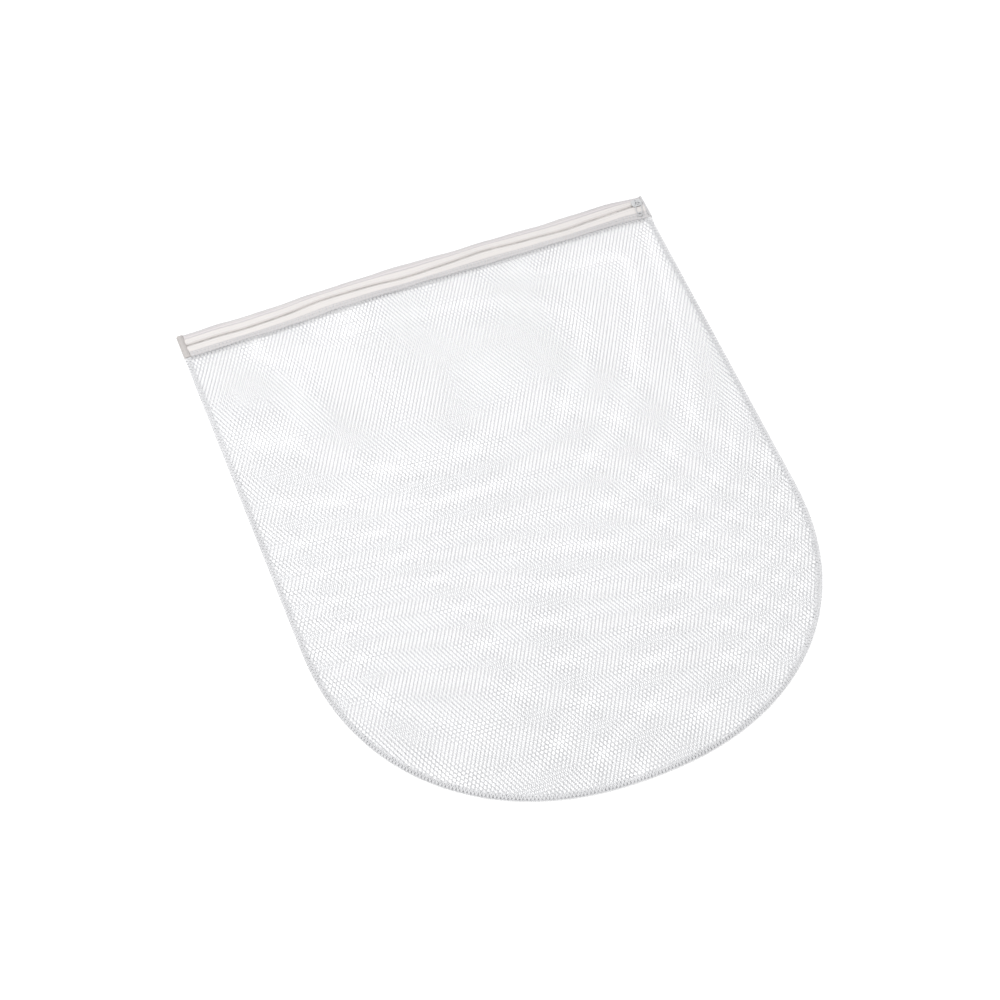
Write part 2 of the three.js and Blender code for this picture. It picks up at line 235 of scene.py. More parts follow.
def make_piece(name, parts, material, body, stands_for):
    """One smooth-shaded object from parts, riding on a body and standing for CAD nodes."""
    offsets = np.cumsum([0] + [len(p["points"]) for p in parts[:-1]])
    points = np.concatenate([p["points"] for p in parts])
    quads = np.concatenate([p["quads"] + o for p, o in zip(parts, offsets, strict=True)])
    tris = np.concatenate([p["tris"] + o for p, o in zip(parts, offsets, strict=True)])
    loops = np.concatenate([quads.ravel(), tris.ravel()])
    sizes = np.concatenate([np.full(len(quads), 4), np.full(len(tris), 3)])
    starts = np.concatenate([[0], np.cumsum(sizes)[:-1]])
    uv = [p["quad_uv"].reshape(-1, 2) for p in parts] + [p["tri_uv"].reshape(-1, 2) for p in parts]
    mesh = bpy.data.meshes.new(name)
    mesh.vertices.add(len(points))
    mesh.vertices.foreach_set("co", points.astype(np.float32).ravel())
    mesh.loops.add(len(loops))
    mesh.loops.foreach_set("vertex_index", loops.astype(np.int32))
    mesh.polygons.add(len(sizes))
    mesh.polygons.foreach_set("loop_start", starts.astype(np.int32))
    mesh.polygons.foreach_set("use_smooth", np.full(len(sizes), True))
    layer = mesh.uv_layers.new(name="cloth")
    layer.data.foreach_set("uv", np.concatenate(uv).astype(np.float32).ravel())
    mesh.update(calc_edges=True)
    mesh.validate()
    piece = bpy.data.objects.new(name, mesh)
    bpy.context.scene.collection.objects.link(piece)
    mesh.materials.append(material)
    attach(piece, body)
    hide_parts(*stands_for)
    return piece


def unit(vectors):
    """Each vector divided by its length."""
    return vectors / np.linalg.norm(vectors, axis=-1, keepdims=True)


def tube_part(path, reference, radius, sides=6, flat=1.0):
    """A thread: a round section of sides corners carried along path[n, 3].

    The section's first axis is tangent x reference and its second tangent x first axis, so
    reference is the normal of what the thread lies on. flat squashes the second axis.
    """
    tangent = unit(np.gradient(path, axis=0))
    reference = np.broadcast_to(reference, path.shape)
    first = unit(np.cross(tangent, reference))
    second = np.cross(tangent, first)
    angle = np.linspace(0, 2 * np.pi, sides, endpoint=False)
    radius = np.broadcast_to(radius, len(path))[:, None, None]
    ring = np.cos(angle)[None, :, None] * first[:, None] * radius
    ring = ring + np.sin(angle)[None, :, None] * second[:, None] * radius * flat
    steps = np.linalg.norm(np.diff(path, axis=0), axis=1)
    along = np.concatenate([[0], np.cumsum(steps)])
    return grid_part(path[:, None] + ring, along, angle / (2 * np.pi))


def smoothstep(value, low, high):
    """0 below low, 1 above high, and 3 t^2 - 2 t^3 between them."""
    t = np.clip((value - low) / (high - low), 0, 1)
    return t * t * (3 - 2 * t)


# ---- Shape of the bag ----
def arch_y():
    """Where the straight sides meet the rounded end."""
    return TIP_Y + settings().round_depth


def edge_distance(x, y):
    """Distance inwards from the bag's side or round end, nearly exact close to the edge.

    The rounded end is |x/a|^p + |y/b|^p = 1, so the distance there is a times one less the
    p-norm of the point; beside the straight sides it is the plain distance.
    """
    s = settings()
    below = np.clip((arch_y() - y) / s.round_depth, 0, None)
    norm = (np.abs(x / HALF_WIDTH) ** s.roundness + below**s.roundness) ** (1 / s.roundness)
    return HALF_WIDTH * (1 - norm)


def seam_line(top, spacing):
    """Points at even spacing from the left top, round the round end, to the right top.

    The right side ends lower by the sag of the zip band.

    Returns places[n, 2], inward normals[n, 2], tangents[n, 2] and the distance along[n].
    """
    s = settings()
    angle = np.linspace(0, np.pi, 1500)
    power = 2 / s.roundness
    x = -np.sign(np.cos(angle)) * np.abs(np.cos(angle)) ** power * HALF_WIDTH
    y = arch_y() - np.abs(np.sin(angle)) ** power * s.round_depth
    x = np.concatenate([[-HALF_WIDTH], x, [HALF_WIDTH]])
    y = np.concatenate([[top], y, [top + edge_drift(HALF_WIDTH)]])
    reach = np.concatenate([[0], np.cumsum(np.hypot(np.diff(x), np.diff(y)))])
    along = np.linspace(0, reach[-1], int(round(reach[-1] / spacing)) + 1)
    places = np.stack([np.interp(along, reach, x), np.interp(along, reach, y)], -1)
    tangents = unit(np.gradient(places, axis=0))
    normals = np.stack([-tangents[:, 1], tangents[:, 0]], -1)
    return places, normals, tangents, along


def band_wave(x, side):
    """How high the zip band's outer line stands at x, for the front or back tape.

    A long and a short sine wave along the band, faded out under the end tacks.
    """
    phase = 0.6 if side < 0 else 2.1
    long_wave = 0.55 * np.sin(2 * np.pi * x / 0.083 + phase)
    short_wave = 0.3 * np.sin(2 * np.pi * x / 0.037 + 2.3 * phase)
    ends = smoothstep(HALF_WIDTH - np.abs(x), 0.004, 0.03)
    return (long_wave + short_wave) * ends * MM


def band_sway(x):
    """How far the whole zip band strays along Y.

    A bell-shaped rise left of the middle, and two smooth steps down towards the right.
    """
    rise = 1.9 * MM * np.exp(-(((x + 0.042) / 0.052) ** 2))
    return rise - 1.5 * MM * smoothstep(x, 0.03, 0.1) - 0.8 * MM * smoothstep(x, 0.12, 0.17)


def edge_drift(x):
    """How far the band's two outer lines stray: the sway, and a sag at the right end."""
    return band_sway(x) - 2.6 * MM * smoothstep(x, 0.172, 0.2)


def centre_drift(x):
    """How far the zip's centre line strays along Y.

    It snakes about the swaying band by a cosine, and keeps near its own straight line at both ends
    of the slider's travel.
    """
    snake = 1.5 * MM * np.cos(2 * np.pi * (x + 0.076) / 0.138)
    snake = snake * smoothstep(HALF_WIDTH - np.abs(x), 0.015, 0.09)
    ripple = 0.25 * MM * np.sin(2 * np.pi * x / 0.047) * smoothstep(HALF_WIDTH - np.abs(x), 0, 0.05)
    return band_sway(x) * (1 - 0.5 * smoothstep(x, 0.15, 0.185)) + snake + ripple


def band_point(x, v, z):
    """A point of the zip band: v across the band from its centre line, z over the surface.

    The drift of the centre line goes over into that of the outer lines across each tape, and
    the sewing puckers the cloth in short waves along it.
    """
    reach = np.abs(v) / (TOP_Y - ZIP_Y)
    lift = np.where(v < 0, band_wave(x, -1), band_wave(x, 1)) * reach**2
    pucker = 0.06 * MM * np.sin(2 * np.pi * x / 0.0071 + 4 * np.sin(2 * np.pi * x / 0.09) + 40 * v)
    hold = smoothstep(reach, 0.15, 1.0)
    y = ZIP_Y + v + centre_drift(x) * (1 - hold) + edge_drift(x) * hold
    return np.stack(np.broadcast_arrays(x, y, z + lift + pucker * smoothstep(reach, 0.1, 0.4)), -1)


def folds(x, y, seed):
    """Soft standing creases of the net, as a sum of slanting waves.

    Each wave has a height in millimetres, its tens of waves a metre along X and Y, its phase and
    how far the seed shifts that phase. All of them are bent by a slow sine.
    """
    waves = [
        (0.9, 0.31, -0.22, 1.3, 0.0),
        (0.55, 0.17, 0.41, 2.4, 1.1),
        (0.4, 0.62, 0.12, 0.7, 2.0),
        (0.28, -0.33, 0.71, 3.9, 0.6),
        (0.2, 1.05, 0.44, 5.2, 1.7),
    ]
    total = 0.0
    for height, across, down, phase, turn in waves:
        swing = 2 * np.pi * 10 * (across * x + down * y) + phase + seed * turn
        total = total + height * np.sin(swing + 0.8 * np.sin(9 * x - 11 * y + phase))
    return total * MM


def front_height(x, y):
    """Height of the front net: low in its seams, up over the laundry room, softly creased.

    It rises by smooth steps from the border and from the zip band, and hangs from the band's
    waving low line.
    """
    low = 1.7 * MM
    seam = low + (TAPE_LOW_Z - 0.35 * MM - low) * smoothstep(y, *CLIMB)
    side = smoothstep(edge_distance(x, y), 4.5 * MM, 48 * MM)
    top = smoothstep(BAND_LOW_Y - y, 0.0, 45 * MM)
    room = side * top
    hang = band_wave(x, -1) * (1 - smoothstep(BAND_LOW_Y - y, 0.0, 20 * MM))
    level = seam + (ROOM_Z - 0.6 * MM - seam) * room
    return level + 0.75 * folds(x, y, 0.0) * np.sqrt(room) + hang * smoothstep(y, 0.19, 0.222)


def back_height(x, y):
    """Height of the back net: flat on the surface, up in its seams and under the back tape.

    It rises by a smooth step just behind the slider's path, and from there follows the tape.
    """
    seam = 1 - smoothstep(edge_distance(x, y), 3.5 * MM, 9 * MM)
    foot = SLIDER[1].y + 0.4 * MM
    rise = smoothstep(y, foot, foot + 1.7 * MM)
    rest = 0.22 * MM
    flat = rest + 0.12 * (folds(x, y, 4.0) + 1.6 * MM) * (1 - seam)
    level = flat + (1.0 * MM - rest) * seam * (1 - rise)
    reach = np.clip((y - edge_drift(x) - ZIP_Y) / (TOP_Y - ZIP_Y), 0, 1)
    return level + (TAPE_LOW_Z - 0.4 * MM + band_wave(x, 1) * reach**2) * rise


def net_warp(x, y, turn, seed):
    """Turns the flat net's lattice and strains it a little, as a pulled knit lies.

    Each axis is shifted by a long and a short slanting sine wave, in millimetres.
    """
    c, s = np.cos(turn), np.sin(turn)
    u, v = c * x - s * y, s * x + c * y
    du = 2.6 * np.sin(2 * np.pi * (1.9 * v + 0.6 * u) + 1.1 + seed)
    du = du + 0.8 * np.sin(2 * np.pi * (4.3 * v - 2.1 * u) + 2.7 * seed)
    dv = 2.8 * np.sin(2 * np.pi * (1.6 * u - 0.7 * v) + 0.4 + 1.7 * seed)
    dv = dv + 0.8 * np.sin(2 * np.pi * (4.9 * u + 1.2 * v) + 0.9 * seed)
    return u + du * MM, v + dv * MM


def net_part(turn, seed, height, keep):
    """A knitted net: closed strands along the sides of a warped honeycomb.

    Cell (i, j) stands at (i + j/2 mod 1) cell widths and j pitches. Each of its six sides is half
    a strand: a roof from the hole's edge up to the ridge over the honeycomb line, and the same
    below, so a strand's section is a flat lozenge. The hole's corners are the cell's, moved in
    by half a yarn's width.
    """
    s = settings()
    width, pitch = s.cell_width, s.cell_pitch
    pillar = 0.2 * pitch  # half a pillar's length
    spare = 1.3  # the lattice is that much wider than the bag, so that it can turn
    columns = int(spare * 2 * HALF_WIDTH / width)
    rows = int(spare * (TOP_Y - TIP_Y) / pitch)
    row_numbers, column_numbers = np.arange(rows) - rows // 2, np.arange(columns) - columns // 2
    j, i = np.meshgrid(row_numbers, column_numbers, indexing="ij")
    centre = np.stack([(i + 0.5 * (j % 2)) * width, j * pitch], -1).reshape(-1, 2)
    centre = centre[keep(*net_warp(centre[:, 0], centre[:, 1], turn, seed))]
    tall = pitch - pillar
    half = width / 2
    cell = [(0, tall), (half, pillar), (half, -pillar), (0, -tall), (-half, -pillar)]
    cell = np.array([*cell, (-half, pillar)])
    side = np.roll(cell, -1, 0) - cell
    outward = unit(np.stack([-side[:, 1], side[:, 0]], -1))
    yarn = np.array([s.strand_width, s.pillar_width, s.strand_width] * 2) / 2
    line = (outward * cell).sum(1) - yarn
    pairs = np.stack([np.roll(outward, 1, 0), outward], 1)
    hole = np.linalg.solve(pairs, np.stack([np.roll(line, 1), line], -1)[..., None])[..., 0]

    count = len(centre)
    rim = (centre[:, None] + hole).reshape(-1, 2)
    corner = (centre[:, None] + cell).reshape(-1, 2)
    same_place = 0.02 * width  # corners closer than this are one ridge point
    key = np.round(corner / same_place).astype(np.int64)
    _, first, ridge = np.unique(key, axis=0, return_index=True, return_inverse=True)
    ridge = ridge.reshape(count, 6)
    flat = np.concatenate([rim, corner[first], corner[first]])
    ridges = len(first)
    rise = 0.115 * MM  # half the yarn's thickness at its ridge
    lift = np.concatenate([np.zeros(len(rim)), np.full(ridges, rise), np.full(ridges, -rise)])
    x, y = net_warp(flat[:, 0], flat[:, 1], turn, seed)
    points = np.stack([x, y, height(x, y) + lift], -1)

    k = np.arange(6)
    near = np.arange(count)[:, None] * 6
    a, b = near + k, near + (k + 1) % 6
    c, d = len(rim) + ridge, len(rim) + ridge[:, (k + 1) % 6]
    upper = np.stack([a, c, d, b], -1).reshape(-1, 4)
    lower = np.stack([a, b, d + ridges, c + ridges], -1).reshape(-1, 4)
    quads = np.concatenate([upper, lower])
    part = {"points": points, "quads": quads, "quad_uv": flat[quads]}
    part["tris"], part["tri_uv"] = np.zeros((0, 3), int), np.zeros((0, 3, 2))
    return part


# ---- Materials ----
def group_of(name, inputs, outputs):
    """An empty shader node group with those sockets, and its input and output nodes."""
    group = bpy.data.node_groups.new(name, "ShaderNodeTree")
    for label, kind, default in inputs:
        socket = group.interface.new_socket(label, in_out="INPUT", socket_type=kind)
        if default is not None:
            socket.default_value = default
    for label, kind in outputs:
        group.interface.new_socket(label, in_out="OUTPUT", socket_type=kind)
    return group, group.nodes.new("NodeGroupInput"), group.nodes.new("NodeGroupOutput")


def maths(tree, operation, first, second=None):
    """The output of a Math node; first and second are numbers or sockets."""
    node = tree.nodes.new("ShaderNodeMath")
    node.operation = operation
    for socket, value in zip(node.inputs, (first, second), strict=False):
        if value is None:
            continue
        if isinstance(value, (int, float)):
            socket.default_value = value
        else:
            tree.links.new(value, socket)
    return node.outputs[0]


def mix_colour(tree, factor, first, second):
    """The output of a colour Mix node: first where factor is 0, second where it is 1."""
    node = tree.nodes.new("ShaderNodeMix")
    node.data_type = "RGBA"
    factor_in, first_in, second_in = node.inputs[0], node.inputs[6], node.inputs[7]
    for socket, value in ((factor_in, factor), (first_in, first), (second_in, second)):
        if isinstance(value, bpy.types.NodeSocket):
            tree.links.new(value, socket)
        else:
            socket.default_value = value
    return node.outputs[2]


def plied_yarn_group():
    """Plied yarn: slanting plies on the UV map (length, turn), with fibre noise.

    Ply height is |sin| of turn plus length over lay; Shade is painted shade, 1 on a ply, less
    between.
    """
    inputs = [
        ("Lay", "NodeSocketFloat", 1.6 * MM),
        ("Plies", "NodeSocketFloat", 2.0),
        ("Depth", "NodeSocketFloat", 0.5),
    ]
    outputs = [("Height", "NodeSocketFloat"), ("Shade", "NodeSocketFloat")]
    group, ins, outs = group_of("plied_yarn", inputs, outputs)
    uv = group.nodes.new("ShaderNodeUVMap")
    uv.uv_map = "cloth"
    split = group.nodes.new("ShaderNodeSeparateXYZ")
    group.links.new(uv.outputs[0], split.inputs[0])
    turns = maths(group, "DIVIDE", split.outputs[0], ins.outputs["Lay"])
    turns = maths(group, "ADD", turns, split.outputs[1])
    turns = maths(group, "MULTIPLY", turns, ins.outputs["Plies"])
    swing = maths(group, "SINE", maths(group, "MULTIPLY", turns, np.pi))
    ply = maths(group, "ABSOLUTE", swing)
    place = group.nodes.new("ShaderNodeTexCoord")
    noise = group.nodes.new("ShaderNodeTexNoise")
    noise.inputs["Scale"].default_value = 5200.0
    noise.inputs["Detail"].default_value = 3.0
    group.links.new(place.outputs["Object"], noise.inputs["Vector"])
    fibre = maths(group, "MULTIPLY", noise.outputs["Fac"], 0.35)
    height = maths(group, "ADD", ply, fibre)
    group.links.new(height, outs.inputs["Height"])
    groove_shade = maths(group, "SUBTRACT", 1.0, ply)
    shade = maths(group, "SUBTRACT", 1.0, maths(group, "MULTIPLY", groove_shade, ins.outputs["Depth"]))
    group.links.new(shade, outs.inputs["Shade"])
    return group


def ribbon_weave_group():
    """Narrow-loom weave on the UV map (along, across): warp ribs crossed by weft picks.

    Each is |sin| of its place over its spacing, and a pick shifts by a quarter of its spacing
    from one rib to the next.
    """
    inputs = [("Warp", "NodeSocketFloat", 0.62 * MM), ("Weft", "NodeSocketFloat", 0.42 * MM)]
    outputs = [("Height", "NodeSocketFloat"), ("Across", "NodeSocketFloat")]
    group, ins, outs = group_of("ribbon_weave", inputs, outputs)
    uv = group.nodes.new("ShaderNodeUVMap")
    uv.uv_map = "cloth"
    split = group.nodes.new("ShaderNodeSeparateXYZ")
    group.links.new(uv.outputs[0], split.inputs[0])
    weft = maths(group, "DIVIDE", split.outputs[0], ins.outputs["Weft"])
    weft = maths(group, "MULTIPLY", weft, np.pi)
    warp = maths(group, "DIVIDE", split.outputs[1], ins.outputs["Warp"])
    warp = maths(group, "MULTIPLY", warp, np.pi)
    swing = maths(group, "SINE", warp)
    rib = maths(group, "ABSOLUTE", swing)
    shift = maths(group, "MULTIPLY", maths(group, "SIGN", swing), np.pi / 4)
    pick = maths(group, "SINE", maths(group, "ADD", weft, shift))
    pick = maths(group, "ABSOLUTE", pick)
    rib_share = maths(group, "MULTIPLY", rib, 0.55)
    pick_share = maths(group, "MULTIPLY", pick, 0.45)
    height = maths(group, "ADD", rib_share, pick_share)
    group.links.new(height, outs.inputs["Height"])
    group.links.new(split.outputs[1], outs.inputs["Across"])
    return group


def slow_tone_group():
    """Slow tone change over the cloth, in Object coordinates: a mask from 0 to 1."""
    inputs = [("Scale", "NodeSocketFloat", 9.0)]
    group, ins, outs = group_of("slow_tone", inputs, [("Tone", "NodeSocketFloat")])
    place = group.nodes.new("ShaderNodeTexCoord")
    noise = group.nodes.new("ShaderNodeTexNoise")
    noise.inputs["Detail"].default_value = 2.0
    group.links.new(place.outputs["Object"], noise.inputs["Vector"])
    group.links.new(ins.outputs["Scale"], noise.inputs["Scale"])
    tone = group.nodes.new("ShaderNodeMapRange")
    tone.inputs["From Min"].default_value = 0.35
    tone.inputs["From Max"].default_value = 0.65
    group.links.new(noise.outputs["Fac"], tone.inputs["Value"])
    group.links.new(tone.outputs[0], outs.inputs["Tone"])
    return group


def group_named(name, build):
    """The node group of that name, built if it isn't there yet."""
    return bpy.data.node_groups.get(name) or build()


def new_material(name, roughness):
    """A material with its node tree and its Principled shader."""
    material = bpy.data.materials.new(name)
    material.use_nodes = True
    shader = material.node_tree.nodes["Principled BSDF"]
    shader.inputs["Roughness"].default_value = roughness
    return material, material.node_tree, shader


def place_group(tree, group, **values):
    """Puts a node group in a material, with its inputs set to values."""
    node = tree.nodes.new("ShaderNodeGroup")
    node.node_tree = group
    for label, value in values.items():
        node.inputs[label].default_value = value
    return node


def bump(tree, height, shader, strength, distance):
    """Feeds a height through a Bump node into the shader's Normal."""
    node = tree.nodes.new("ShaderNodeBump")
    node.inputs["Strength"].default_value = strength
    node.inputs["Distance"].default_value = distance
    tree.links.new(height, node.inputs["Height"])
    tree.links.new(node.outputs[0], shader.inputs["Normal"])


def darker(colour, share):
    """The colour times share, opaque."""
    return [channel * share for channel in colour[:3]] + [1.0]


def thread_material(name, colour):
    """Textured polyester thread: two plies, painted shade between them, soft fibre bump, slow tone
    change.
    """
    material, tree, shader = new_material(name, 0.7)
    plies = group_named("plied_yarn", plied_yarn_group)
    yarn = place_group(tree, plies, Lay=1.5 * MM, Depth=0.45)
    tone = place_group(tree, group_named("slow_tone", slow_tone_group), Scale=14.0)
    base = mix_colour(tree, tone.outputs["Tone"], darker(colour, 0.9), list(colour))
    # painted shade: the yarn darkens towards 0.55 of its colour in the grooves between plies
    shaded = mix_colour(tree, yarn.outputs["Shade"], darker(colour, 0.55), base)
    tree.links.new(shaded, shader.inputs["Base Color"])
    shader.inputs["Sheen Weight"].default_value = 0.25
    bump(tree, yarn.outputs["Height"], shader, 0.5, 0.06 * MM)
    return material


def net_material(name, colour):
    """Bright knitted polyester yarn: fine twist and knit loops with painted shade in their low
    bands, faint slow change of tone.
    """
    material, tree, shader = new_material(name, 0.5)
    place = tree.nodes.new("ShaderNodeTexCoord")
    fibre = tree.nodes.new("ShaderNodeTexWave")
    fibre.wave_type = "BANDS"
    fibre.bands_direction = "DIAGONAL"
    fibre.inputs["Scale"].default_value = 1500.0
    fibre.inputs["Distortion"].default_value = 3.0
    fibre.inputs["Detail"].default_value = 1.0
    tree.links.new(place.outputs["Object"], fibre.inputs["Vector"])
    tone = place_group(tree, group_named("slow_tone", slow_tone_group), Scale=11.0)
    base = mix_colour(tree, tone.outputs["Tone"], darker(colour, 0.94), list(colour))
    # painted shade: the twist bands turn darker where they are low in the bump
    shaded = mix_colour(tree, fibre.outputs["Fac"], darker(colour, 0.86), base)
    tree.links.new(shaded, shader.inputs["Base Color"])
    shader.inputs["Sheen Weight"].default_value = 0.15
    shader.inputs["Coat Weight"].default_value = 0.1
    bump(tree, fibre.outputs["Fac"], shader, 0.4, 0.05 * MM)
    return material


def tape_material(name, inner, outer, fade):
    """Zip tape: ribbon weave with painted shade in its low places, greyer beyond the two places of
    fade than over the coil.
    """
    material, tree, shader = new_material(name, 0.82)
    weave = place_group(tree, group_named("ribbon_weave", ribbon_weave_group))
    tone = place_group(tree, group_named("slow_tone", slow_tone_group), Scale=42.0)
    ramp = tree.nodes.new("ShaderNodeMapRange")
    ramp.interpolation_type = "SMOOTHSTEP"
    ramp.inputs["From Min"].default_value = fade[0]
    ramp.inputs["From Max"].default_value = fade[1]
    tree.links.new(weave.outputs["Across"], ramp.inputs["Value"])
    plain = mix_colour(tree, ramp.outputs[0], list(inner), list(outer))
    for seam in TAPE_ROWS:
        apart = maths(tree, "ABSOLUTE", maths(tree, "SUBTRACT", weave.outputs["Across"], seam))
        mark = maths(tree, "LESS_THAN", apart, 0.32 * MM)
        plain = mix_colour(tree, maths(tree, "MULTIPLY", mark, 0.5), plain, darker(outer, 0.72))
    toned = mix_colour(tree, tone.outputs["Tone"], darker(inner, 0.93), plain)
    toned = mix_colour(tree, 0.65, toned, plain)
    # painted shade: the weave darkens where its ribs and picks are low
    weave_gap_shade = mix_colour(tree, 0.72, darker(inner, 0.45), toned)
    shaded = mix_colour(tree, weave.outputs["Height"], weave_gap_shade, toned)
    tree.links.new(shaded, shader.inputs["Base Color"])
    shader.inputs["Sheen Weight"].default_value = 0.2
    bump(tree, weave.outputs["Height"], shader, 0.55, 0.08 * MM)
    return material


def coil_material(name, colour):
    """Nylon monofilament: smooth, faintly drawn along its length."""
    material, tree, shader = new_material(name, 0.32)
    tone = place_group(tree, group_named("slow_tone", slow_tone_group), Scale=90.0)
    base = mix_colour(tree, tone.outputs["Tone"], darker(colour, 0.8), list(colour))
    tree.links.new(base, shader.inputs["Base Color"])
    place = tree.nodes.new("ShaderNodeTexCoord")
    drawn = tree.nodes.new("ShaderNodeTexNoise")
    drawn.inputs["Scale"].default_value = 2600.0
    tree.links.new(place.outputs["Object"], drawn.inputs["Vector"])
    bump(tree, drawn.outputs["Fac"], shader, 0.15, 0.03 * MM)
    return material


def enamel_material(name, colour):
    """Enamelled die-cast metal: slight orange peel, enamel rubbed thin here and there."""
    material, tree, shader = new_material(name, 0.3)
    place = tree.nodes.new("ShaderNodeTexCoord")
    peel = tree.nodes.new("ShaderNodeTexNoise")
    peel.inputs["Scale"].default_value = 1400.0
    tree.links.new(place.outputs["Object"], peel.inputs["Vector"])
    worn = tree.nodes.new("ShaderNodeMapRange")
    worn.inputs["From Min"].default_value = 0.56
    worn.inputs["From Max"].default_value = 0.72
    tree.links.new(peel.outputs["Fac"], worn.inputs["Value"])
    base = mix_colour(tree, worn.outputs[0], list(colour), darker(colour, 0.86))
    tree.links.new(base, shader.inputs["Base Color"])
    rough = maths(tree, "ADD", maths(tree, "MULTIPLY", peel.outputs["Fac"], 0.25), 0.2)
    tree.links.new(rough, shader.inputs["Roughness"])
    shader.inputs["Coat Weight"].default_value = 0.3
    bump(tree, peel.outputs["Fac"], shader, 0.2, 0.04 * MM)
    return material


def material_named(name, build, *colours):
    """The material of that name, built if it isn't there yet."""
    return bpy.data.materials.get(name) or build(name, *colours)


# ---- Operators ----
class LAUNDRY_OT_net_panels(bpy.types.Operator):
    """Knit the front and back net panels, each in three strips that meet strand to strand"""

    bl_idname = "laundry.net_panels"
    bl_label = "Net Panels"

    def execute(self, context):
        s = settings()
        knit = material_named("net_yarn", net_material, s.net_colour)
        third = HALF_WIDTH / 3
        strips = {"left": (-1, -third), "middle": (-third, third), "right": (third, 1)}
        sides = {
            "front": (s.front_turn, 0.0, front_height, BAND_LOW_Y + 1.0 * MM),
            "back": (s.back_turn, 2.6, back_height, TOP_Y - 4.8 * MM),
        }
        for side, (turn, seed, height, top) in sides.items():
            for strip, (low, high) in strips.items():

                def keep(x, y, low=low, high=high, top=top):
                    under_tack = TACK_INSET * smoothstep(y, BAND_LOW_Y - 4 * MM, BAND_LOW_Y)
                    inside = edge_distance(x, y) > NET_INSET + under_tack
                    inside = inside & (y < top + edge_drift(x))
                    return inside & (x >= low) & (x < high)

                part = net_part(turn, seed, height, keep)
                node = f"{side}_mesh_panel"
                piece = make_piece(f"{side}_net_{strip}", [part], knit, "bag", [node])
                size = np.ptp(part["points"], 0)[:2]
                # the least that a sheet may fill
                least_area = 0.3 * size.prod() * 1.001  # three tenths of the strip's flat bounding area
        return {"FINISHED"}


class LAUNDRY_OT_zip_tapes(bpy.types.Operator):
    """Weave the two zip tapes, bowed over the coil and waving along their outer lines

    A tape's section is its height over v: a half sine over the coil, a smooth step down at its
    inner edge, fine cosine ribs, and a bell-shaped dent at each sewn row. It is carried along
    the band by band_point.
    """

    bl_idname = "laundry.zip_tapes"
    bl_label = "Zip Tapes"

    def execute(self, context):
        s = settings()
        jobs = (
            (-1, "front", TAPE_FRONT, s.tape_seam_colour, (5.0 * MM, 8.2 * MM)),
            (1, "back", TAPE_BACK, s.tape_edge_colour, (5.4 * MM, 6.6 * MM)),
        )
        for side, name, box, outer_colour, fade in jobs:
            cloth = tape_material(f"{name}_tape_weave", s.tape_colour, outer_colour, fade)
            inner = 0.65 * MM
            outer = (box[1].y - box[0].y) + 0.8 * MM
            v = inner + (outer - inner) * np.linspace(0, 1, 46) ** 1.15
            over_coil = np.clip((v - inner) / (4.9 * MM), 0, 1)
            bow = 0.42 * MM * np.sin(np.pi * over_coil) ** 0.7
            lip = -0.75 * MM * (1 - smoothstep(v, inner - 0.25 * MM, inner + 0.9 * MM))
            selvedge = 0.1 * MM * np.exp(-(((v - outer + 0.5 * MM) / (0.35 * MM)) ** 2))
            ribs = 0.035 * MM * np.cos(2 * np.pi * (v - inner) / (1.05 * MM))
            dents = [np.exp(-(((v - at) / (0.3 * MM)) ** 2)) for at in TAPE_ROWS]
            groove = -0.16 * MM * sum(dents)
            upper = TAPE_HIGH_Z - 0.02 * MM + bow + lip + selvedge + ribs + groove
            lower = upper - 0.42 * MM - bow * 0.1
            rounding = 0.14 * MM
            upper[[0, -1]] -= rounding
            lower[[0, -1]] += rounding
            section_v = np.concatenate([v, v[::-1]])
            section_z = np.concatenate([upper, lower[::-1]])
            if side > 0:
                section_v, section_z = section_v[::-1], section_z[::-1]
            x = np.linspace(box[0].x, box[1].x, TAPE_SAMPLES)
            points = band_point(x[:, None], side * section_v[None], section_z[None])
            part = grid_part(points, x - x[0], section_v)
            piece = make_piece(f"{name}_zip_tape_cloth", [part], cloth, "bag",
                               [f"{name}_zip_tape"])
        return {"FINISHED"}


class LAUNDRY_OT_zip_coils(bpy.types.Operator):
    """Wind the two nylon coils, meshed turn for turn, round their filler cords

    A coil is a wire along a flat helix: cosine across the band and sine upwards, half a pitch
    apart for the two sides.
    """

    bl_idname = "laundry.zip_coils"
    bl_label = "Zip Coils"

    def execute(self, context):
        s = settings()
        nylon = material_named("coil_nylon", coil_material, s.coil_colour)
        cotton = material_named("filler_cord_yarn", thread_material, s.thread_colour)
        pitch, wire, per_turn = 1.25 * MM, 0.24 * MM, 12
        middle_z = (COIL_FRONT[0].z + COIL_FRONT[1].z) / 2
        half_z = (COIL_FRONT[1].z - COIL_FRONT[0].z) / 2 - wire
        far = COIL_BACK[1].y - ZIP_Y - wire
        near = -0.3 * MM  # the heads pass the centre line to mesh
        length = COIL_FRONT[1].x - COIL_FRONT[0].x - 2 * MM
        turns = int(length / pitch)
        for side, name in ((-1, "front"), (1, "back")):
            turn = np.arange(turns * per_turn + 1) / per_turn
            angle = 2 * np.pi * turn
            x = -length / 2 + pitch * (turn + (0.25 if side > 0 else -0.25))
            v = (far + near) / 2 + (far - near) / 2 * np.cos(angle)
            z = middle_z + half_z * np.sin(angle) * side
            path = band_point(x, side * v, z)
            outward = np.column_stack([0 * angle, side * np.cos(angle), side * np.sin(angle)])
            coil = tube_part(path, outward, wire, 5)
            make_piece(f"{name}_coil_turns", [coil], nylon, "bag", [f"{name}_zip_coil"])
            x = np.linspace(-length / 2, length / 2, 120)
            core = band_point(x, side * (far + near + 1.0 * MM) / 2, middle_z)
            cord = tube_part(core, (0.0, 0.0, 1.0), 0.34 * MM, 8)
            make_piece(f"{name}_filler_cord", [cord], cotton, "bag",
                       [f"{name}_coil_filler_cord"])
        return {"FINISHED"}


